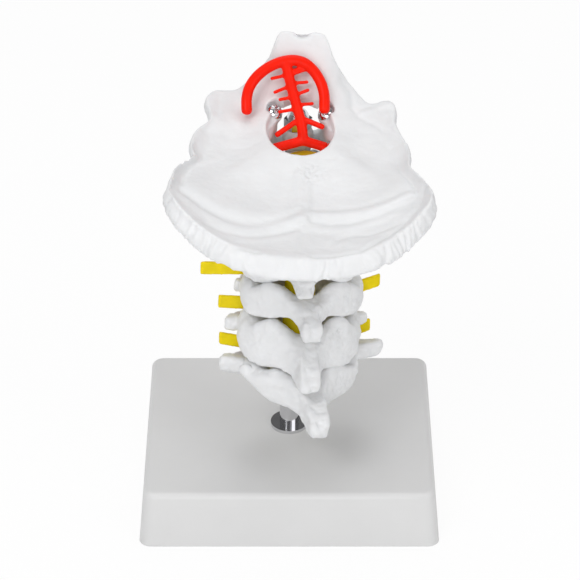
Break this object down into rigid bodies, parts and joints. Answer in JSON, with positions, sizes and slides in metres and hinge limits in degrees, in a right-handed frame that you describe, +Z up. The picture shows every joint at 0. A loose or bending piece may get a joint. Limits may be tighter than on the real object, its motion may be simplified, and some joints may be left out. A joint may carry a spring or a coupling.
{
  "type": "cervical spine anatomy model on a stand",
  "caption": "Cervical vertebrae with an occipital bone plate, spinal cord, nerve roots and arteries, carried on a metal rod above a moulded rectangular base.",
  "frame": {"origin": "centre of the underside of the base, on the surface it stands on", "axes": "+Z up, +Y towards the front of the neck (the vertebral bodies), +X towards the model's right; seen from behind along +Y"},
  "size_m": [0.125, 0.1512, 0.2001],
  "materials": {
    "base_plastic": "light grey, smooth and slightly satin",
    "bone_plastic": "off-white, soft bone-like surface",
    "disc_plastic": "greyish white, smooth and soft",
    "nerve_yellow": "yellow, flexible and slightly glossy",
    "artery_red": "red, flexible and glossy",
    "bright_metal": "polished"
  },
  "bodies": {
    "root": {"base_shell": "base_plastic", "base_washer": "bright_metal", "base_nut": "bright_metal", "column_rod": "bright_metal", "tube_flange": "bright_metal", "spacer_tube": "bright_metal", "dens_nut": "bright_metal", "axis_c2": "bone_plastic", "atlas_c1": "bone_plastic", "occipital_plate": "bone_plastic", "spinal_cord": "nerve_yellow", "basilar_arteries": "artery_red", "vertebral_artery_left": "artery_red", "vertebral_artery_right": "artery_red", "condyle_screws": "bright_metal", "vertebra_c7": "bone_plastic", "vertebra_c6": "bone_plastic", "vertebra_c5": "bone_plastic", "vertebra_c4": "bone_plastic", "vertebra_c3": "bone_plastic", "disc_c6_c7": "disc_plastic", "disc_c5_c6": "disc_plastic", "disc_c4_c5": "disc_plastic", "disc_c3_c4": "disc_plastic", "disc_c2_c3": "disc_plastic"}
  },
  "joints": []
}
